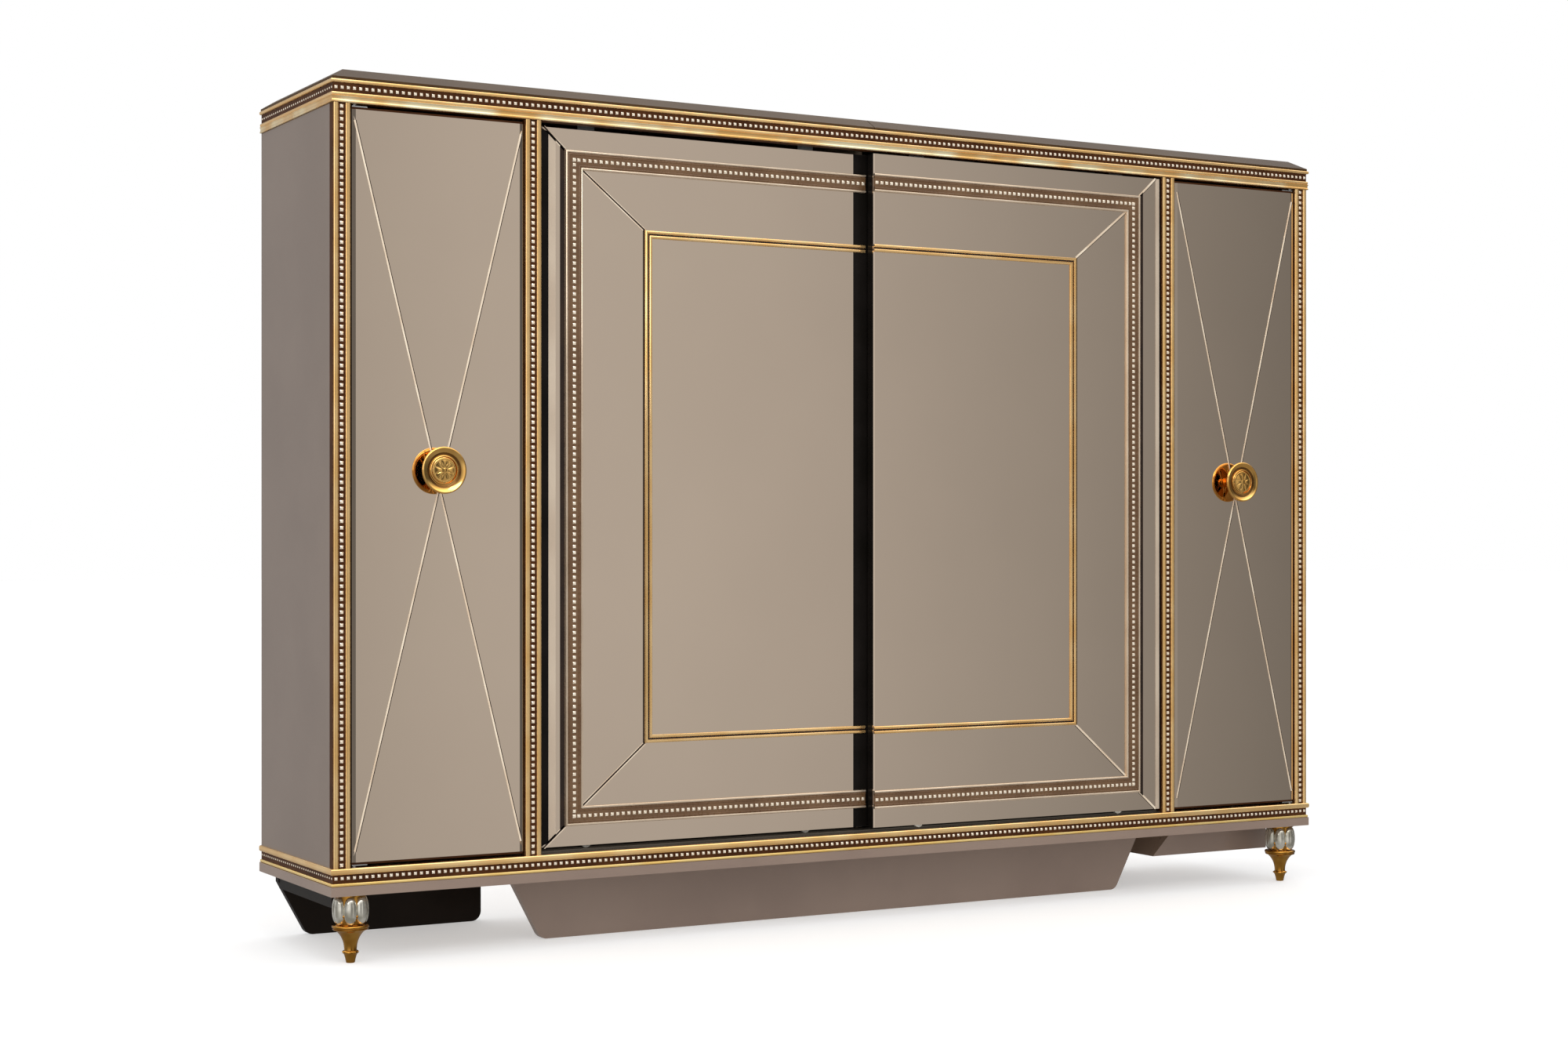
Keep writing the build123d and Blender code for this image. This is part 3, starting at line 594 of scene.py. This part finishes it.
# ---------------------------------------------------------------- crystal rows on the carcass
front = Vector((0, -1, 0))
row_levels = (base_top - 25 * MM, cornice_bottom + 39 * MM)
rows = []
for level in row_levels:
    rows += stone_row(
        Vector((-half_width, face_y, level)), Vector((half_width, face_y, level)), front, size=7.8 * MM
    )
    for hand in (-1, 1):
        x = hand * half_width
        rows += stone_row(
            Vector((x, face_y, level)), Vector((x, back_y, level)), Vector((hand, 0, 0)),
            size=5 * MM, height=1.0 * MM,
        )
for middle in post_middles:
    rows += stone_row(Vector((middle, post_y, base_top)), Vector((middle, post_y, cornice_bottom)), front)
make_piece("carcass_crystals", rows, crystal, "root", ("crystal_rows",), sharp=5)


# ---------------------------------------------------------------- sliding doors
def door_trim(hand, node, section, face):
    """A section of (inset, proud) points taken along a sliding door's top, outer edge and bottom."""
    low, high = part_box(node)
    outer = high.x if hand > 0 else low.x
    meeting = low.x if hand > 0 else high.x
    stations = (
        (meeting, high.z, 0, -1),
        (outer, high.z, -hand, -1),
        (outer, low.z, -hand, 1),
        (meeting, low.z, 0, 1),
    )
    return skin(
        [
            [Vector((x + inset * in_x, face - proud, z + inset * in_z)) for inset, proud in section]
            for x, z, in_x, in_z in stations
        ]
    )


def rounded(low, high, proud):
    """A bead's section from low to high, as (inset, proud) points in metres."""
    return half_round(low * MM, high * MM, proud * MM)


def flat(low, high, proud):
    """A flat fillet's section from low to high, as (inset, proud) points in metres."""
    return [(low * MM, 0), (low * MM, proud * MM), (high * MM, proud * MM), (high * MM, 0)]


MOULDING_BEADS = (rounded(0, 7, 8), rounded(45, 52, 8))
MOULDING_FIELD = (flat(0.6, 51.4, 4.6), rounded(8, 13.5, 6.4), rounded(38.5, 44, 6.4))
FRAME_BEADS = (rounded(0.1, 9, 6), rounded(13, 21.9, 5.4))
# The flat between the inner frame's two gold beads is coloured with painted shade.
FRAME_GAP = flat(0.6, 21.4, 2)
for hand, side in SIDES:
    body = f"sliding_{side}"
    glass_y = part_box(f"{body}_mirror")[0].y
    moulding = f"{body}_moulding"
    inner_frame = f"{body}_inner_frame"
    make_piece(
        f"{body}_moulding_beads",
        [door_trim(hand, moulding, section, glass_y) for section in MOULDING_BEADS],
        moulding_taupe, body, (moulding,), sharp=50,
    )
    make_piece(
        f"{body}_moulding_field",
        [door_trim(hand, moulding, section, glass_y) for section in MOULDING_FIELD],
        moulding_field, body, (moulding,), sharp=50,
    )
    make_piece(
        f"{body}_gold_beads", [door_trim(hand, inner_frame, section, glass_y) for section in FRAME_BEADS],
        gold, body, (inner_frame,), sharp=50,
    )
    make_piece(
        f"{body}_frame_gap", [door_trim(hand, inner_frame, FRAME_GAP, glass_y)],
        cut_shade, body, (inner_frame,),
    )
    low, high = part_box(f"{body}_crystals")
    width = 10 * MM
    outer = (high.x if hand > 0 else low.x) - hand * width / 2
    meeting = low.x if hand > 0 else high.x
    seat = glass_y - 4.6 * MM
    top, bottom = high.z - width / 2, low.z + width / 2
    stones = []
    for z in (top, bottom):
        stones += stone_row(Vector((outer - hand * width / 2, seat, z)), Vector((meeting, seat, z)), front)
    stones.append(stone(Vector((outer, seat, top)), Vector((1, 0, 0)), Vector((0, 0, 1)), front))
    stones.append(stone(Vector((outer, seat, bottom)), Vector((1, 0, 0)), Vector((0, 0, 1)), front))
    stones += stone_row(
        Vector((outer, seat, bottom + width / 2)), Vector((outer, seat, top - width / 2)), front
    )
    make_piece(f"{body}_stones", stones, crystal, body, (f"{body}_crystals",), sharp=5)


# ---------------------------------------------------------------- cut lines in the mirrors
CUT_PROUD = 0.5 * MM


def cut_line(start, end, low, high, face):
    """A thin bar on the glass from one (x, z) point to another, from low to high across its line."""
    first = Vector((start[0], face, start[1]))
    last = Vector((end[0], face, end[1]))
    across = front.cross((last - first).normalized())
    return skin(
        [
            [
                point + across * offset * MM + front * proud
                for offset, proud in ((low, 0), (low, CUT_PROUD), (high, CUT_PROUD), (high, 0))
            ]
            for point in (first, last)
        ]
    )


def cut_lines(body, lines, face, bright, shaded):
    """The painted highlight and the painted shade of each cut, as two pieces; widths in mm across the line.
    """
    for name, material, spans in (("bright", cut_highlight, bright), ("shaded", cut_shade, shaded)):
        bars = [cut_line(start, end, low, high, face) for start, end in lines for low, high in spans]
        make_piece(f"{body}_{name}_cuts", bars, material, body)


def edge_strip(hand, glass, trim, near, far):
    """An upright strip between two distances (mm) from the glass's outer edge, mitred at both ends."""
    glass_edge, trim_edge = (corners[hand > 0].x for corners in (glass, trim))
    outlines = []
    for glass_corner, trim_corner in zip(glass, trim):
        outline = []
        for distance, proud in ((near, 0), (near, CUT_PROUD), (far, CUT_PROUD), (far, 0)):
            past_bevel = max(0.0, distance * MM - BEVEL_WIDTH) / (abs(glass_edge - trim_edge) - BEVEL_WIDTH)
            z = glass_corner.z + (trim_corner.z - glass_corner.z) * past_bevel
            outline.append(Vector((glass_edge - hand * distance * MM, glass[0].y - proud, z)))
        outlines.append(outline)
    return skin(outlines)


BEVEL_WIDTH = 18 * MM
MOULDING_WIDTH = 52 * MM
# A dark strip on the glass just outside the moulding: painted reflection of the moulding's shaded side.
MOULDING_SHADE = (66, 79.5)  # mm from the glass's outer edge, just outside the moulding
# How far from the outer edge (mm) a sliding door's dark seal and its bevel's painted glint lie. The dark
# strip is partly a black seal and partly painted shade in the gap by the post. The left and the right door
# differ, as they do to the eye from the camera's side.
EDGE_STRIPS = {"left": ((0, 32), (32, 53)), "right": ((0, 4), (4, 18))}
# Widths (mm across the line) of each cut's painted highlight and painted shade; the left and the right mitre
# cuts differ, as they do to the eye from the camera's side.
DOOR_CUT = {"bright": [(-2.2, 2.4)], "shaded": [(-4.4, -2.2)]}
MITRE_CUTS = {
    "left": {"bright": [(-4.6, -2.0), (2.6, 4.4)], "shaded": [(-2.0, 2.6)]},
    "right": {"bright": [(-3.4, 2.4)], "shaded": [(2.4, 4.2)]},
}
for hand, side in SIDES:
    low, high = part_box(f"door_{side}_mirror")
    margin = 7 * MM
    left, right = low.x + margin, high.x - margin
    bottom, top = low.z + 4 * margin, high.z - 4 * margin
    diagonals = [((left, bottom), (right, top)), ((right, bottom), (left, top))]
    cut_lines(f"door_{side}", diagonals, low.y, **DOOR_CUT)

    body = f"sliding_{side}"
    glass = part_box(f"{body}_mirror")
    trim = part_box(f"{body}_moulding")
    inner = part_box(f"{body}_inner_frame")
    glass_y = glass[0].y
    glass_edge, trim_edge, frame_edge = (corners[hand > 0].x for corners in (glass, trim, inner))
    border_x = glass_edge - hand * BEVEL_WIDTH
    inside_x = trim_edge - hand * MOULDING_WIDTH
    lines = []
    for glass_corner, trim_corner, frame_corner, inwards in zip(glass, trim, inner, (1, -1)):
        inside_z = trim_corner.z + inwards * MOULDING_WIDTH
        lines.append(((border_x, glass_corner.z), (trim_edge, trim_corner.z)))
        lines.append(((inside_x, inside_z), (frame_edge, frame_corner.z)))
    cut_lines(body, lines, glass_y, **MITRE_CUTS[side])
    # A thin dark strip of painted shade on the glass beside the gold frame's upright edge.
    near, far = sorted((-0.5 * hand, -5 * hand))
    shade = cut_line((frame_edge, inner[0].z), (frame_edge, inner[1].z), near, far, glass_y)
    make_piece(f"{body}_frame_shade", [shade], cut_shade, body)

    # The seal strip is partly a black seal and partly painted shade; the glint and the moulding's dark strip
    # are painted reflections.
    seal, glint = EDGE_STRIPS[side]
    for name, span, material, slot in (
        ("edge_seal_and_shade", seal, black, "black_profile"),
        ("edge_glint", glint, painted_bevel_glint, "bronze_mirror"),
        ("moulding_shade", MOULDING_SHADE, cut_shade, "bronze_mirror"),
    ):
        make_piece(f"{body}_{name}", [edge_strip(hand, glass, trim, *span)], material, body)


# ---------------------------------------------------------------- knobs
def knob_place(middle, face):
    return lambda a, b, reach: Vector((middle.x + a, face - reach, middle.z + b))


KNOB_SECTION = [
    (radius * MM, reach * MM)
    for radius, reach in (
        [(0, 0), (17, 0), (17, 2)]
        + bend((16, 3.4), (9.5, 4.5), (8.6, 9), 5)
        + bend((8.6, 20), (9, 26.5), (20, 28), 6)
        + bend((52, 29.4), (61, 30), (61, 35), 6)
        + bend((61, 36.5), (60.6, 39.4), (58, 40), 4)
        + [(56.4, 39.7), (55.2, 38.8), (40, 33.6)]
        + bend((39, 33.8), (38.4, 37.4), (36.4, 37.4), 4)
        + bend((35.4, 37.3), (34.6, 36.6), (34.4, 33), 3)
        + [(34, 31.4), (0, 31.4)]
    )
]


RECESS_SECTION = [
    (radius * MM, reach * MM)
    for radius, reach in ((0, 30), (44, 30), (46.5, 36), (40.2, 33.85), (39.6, 31), (0, 31))
]


def rosette(place, radius=33 * MM, base=31.4 * MM, petals=8, rings=26, segments=128):
    """A domed disc with a ring of beads' height at its rim, petals in relief and a boss."""

    def height(share, angle):
        dome = 36.2 + 1.9 * (1 - share**2)
        if share > 0.86:
            rim = math.sin(math.pi * (share - 0.86) / 0.14)
            return dome + 0.9 * rim * (0.75 + 0.25 * math.cos(40 * angle))
        if share < 0.2:
            return dome + 1.2 * math.cos(share / 0.2 * math.pi / 2)
        lobe = abs(math.cos(petals * angle / 2))
        shape = math.sin(math.pi * (share - 0.2) / 0.66)
        vein = 0.35 * max(0.0, 1 - 14 * abs(math.sin(petals * angle / 2)))
        return dome + shape * (1.5 * lobe**0.7 - 0.6) - vein * shape

    vertices = [place(0, 0, base)]
    for ring in range(rings + 1):
        share = min(1, 1 - (ring - 1) / rings)
        for step in range(segments):
            angle = math.tau * step / segments
            level = height(share, angle) * MM if ring else base
            reach = radius * share
            vertices.append(place(reach * math.cos(angle), reach * math.sin(angle), level))
    vertices.append(place(0, 0, height(0, 0) * MM))
    last = len(vertices) - 1
    faces = []
    for step in range(segments):
        after = (step + 1) % segments
        faces.append((0, 1 + step, 1 + after))
        faces.append((last, last - segments + after, last - segments + step))
        for ring in range(rings):
            low = 1 + ring * segments
            faces.append((low + step, low + segments + step, low + segments + after, low + after))
    return vertices, faces


for body in ("door_left", "door_right"):
    low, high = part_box(f"{body}_knob")
    place = knob_place((low + high) / 2, high.y)
    make_piece(
        f"{body}_dish_knob", [turned(KNOB_SECTION, place, 96)],
        knob_gold, body, (f"{body}_knob",), sharp=40,
    )
    # A ring in the recess round the rosette, coloured with painted shade.
    make_piece(
        f"{body}_knob_recess_shade", [turned(RECESS_SECTION, place, 96)],
        knob_recess_shade, body, (f"{body}_knob",),
    )
    make_piece(
        f"{body}_rosette", [rosette(place)], knob_gold, body, (f"{body}_medallion",), sharp=60
    )


# ---------------------------------------------------------------- feet
def foot_place(x, y):
    return lambda a, b, height: Vector((x + a, y + b, height))


FOOT_SECTION = [
    (radius * MM, height * MM)
    for radius, height in (
        [(0, 0), (10.5, 0), (11.5, 1)]
        + bend((11.8, 3), (14, 15), (17, 22), 4)
        + bend((18, 23.5), (21, 24.5), (20, 27.5), 4)
        + bend((20, 28.5), (19.5, 31), (16.6, 32), 3)
        + bend((16.2, 34), (17, 66), (39, 84), 12)
        + bend((41, 85), (46, 84.6), (46, 87), 4)
        + [(46, 88.5), (44.6, 89.5)]
        + bend((44.6, 90), (48, 90.4), (48, 93.5), 4)
        + bend((48, 94.5), (48, 97), (45, 98), 4)
        + [(38, 98), (34, 99.5)]
        + bend((34, 101), (42, 135.5), (34, 170), 12)
        + [(34, 172), (42, 173), (42, 178), (0, 178)]
    )
]
LOBES = 7
COLLAR_STUDS = 10
lobe_low, lobe_high = 99.5 * MM, 171.5 * MM


def lobe(x, y, angle, rings=16, segments=20):
    """An oval crystal lobe that bulges out of the foot's barrel."""
    middle = (lobe_low + lobe_high) / 2
    half_height = (lobe_high - lobe_low) / 2
    out = Vector((math.cos(angle), math.sin(angle), 0))
    round_way = Vector((-math.sin(angle), math.cos(angle), 0))
    center = Vector((x, y, middle)) + out * 34 * MM
    vertices = [center - Vector((0, 0, half_height))]
    for ring in range(1, rings):
        level = math.pi * ring / rings
        for step in range(segments):
            turn = math.tau * step / segments
            wide = math.sin(level) ** 0.8
            vertices.append(
                center
                + out * 14 * MM * wide * math.cos(turn)
                + round_way * 17 * MM * wide * math.sin(turn)
                - Vector((0, 0, half_height * math.cos(level)))
            )
    vertices.append(center + Vector((0, 0, half_height)))
    last = len(vertices) - 1
    faces = []
    for step in range(segments):
        after = (step + 1) % segments
        faces.append((0, 1 + after, 1 + step))
        faces.append((last, last - segments + step, last - segments + after))
        for ring in range(rings - 2):
            low = 1 + ring * segments
            faces.append((low + step, low + after, low + segments + after, low + segments + step))
    return vertices, faces


def bead(center, radius, rings=6, segments=10):
    """A small ball."""
    profile = [(radius * math.sin(math.pi * ring / rings), -radius * math.cos(math.pi * ring / rings))
               for ring in range(rings + 1)]
    return turned(profile, lambda a, b, h: center + Vector((a, b, h)), segments)


foot_low, foot_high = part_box("feet")
foot_radius = 48 * MM
foot_y = (foot_low.y + foot_high.y) / 2
spindles, studs, lobes = [], [], []


def stud(x, y, angle, reach, height, radius):
    """A small ball at an angle round a foot; reach, height and radius are in mm."""
    center = Vector((x + reach * MM * math.cos(angle), y + reach * MM * math.sin(angle), height * MM))
    return bead(center, radius * MM)


for hand in (-1, 1):
    foot_x = hand * (foot_high.x - foot_radius)
    spindles.append(turned(FOOT_SECTION, foot_place(foot_x, foot_y), 72))
    for step in range(COLLAR_STUDS):
        angle = math.tau * step / COLLAR_STUDS
        studs.append(stud(foot_x, foot_y, angle, 19.5, 27.8, 2.6))
    for step in range(LOBES):
        angle = math.tau * (step / LOBES) + math.radians(-120 - 10 * hand)
        lobes.append(lobe(foot_x, foot_y, angle))
        studs.append(stud(foot_x, foot_y, angle + math.pi / LOBES, 38.5, 122, 3.4))
make_piece("turned_feet", spindles + studs, foot_gold, "root", ("feet",), sharp=40)
make_piece("crystal_lobes", lobes, bulb_crystal, "root", ("foot_bulbs",), sharp=60)
